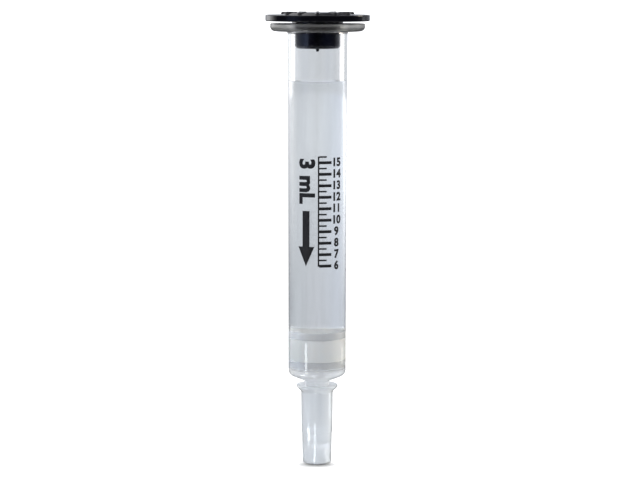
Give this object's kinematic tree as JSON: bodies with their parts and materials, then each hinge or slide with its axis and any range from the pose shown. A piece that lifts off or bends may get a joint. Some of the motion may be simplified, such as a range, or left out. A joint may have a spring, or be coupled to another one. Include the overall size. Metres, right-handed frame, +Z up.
{
  "type": "immunoaffinity column",
  "caption": "Clear flanged column with a gel bed between porous discs under storage buffer, a black press-in stopper in its mouth and a pull-off cap on its Luer outlet.",
  "frame": {"origin": "centre of the outlet cap's foot ring, where the column stands on the bench", "axes": "+Z up along the column's axis from the outlet cap to the stopper; X and Y are alike"},
  "size_m": [0.0181, 0.018, 0.0791],
  "materials": {
    "barrel": "clear polished polypropylene, slightly hazy",
    "frit": "white sintered polyethylene, porous, wetted",
    "gel": "packed off-white gel beads, wet",
    "buffer": "clear aqueous liquid",
    "stopper": "glossy black polyethylene",
    "tip_cap": "translucent natural polyethylene, satin"
  },
  "bodies": {
    "root": {"barrel": "barrel", "lower_frit": "frit", "gel_bed": "gel", "upper_frit": "frit", "storage_buffer": "buffer", "outlet_buffer": "buffer", "stopper": "stopper", "tip_cap": "tip_cap"}
  },
  "joints": []
}
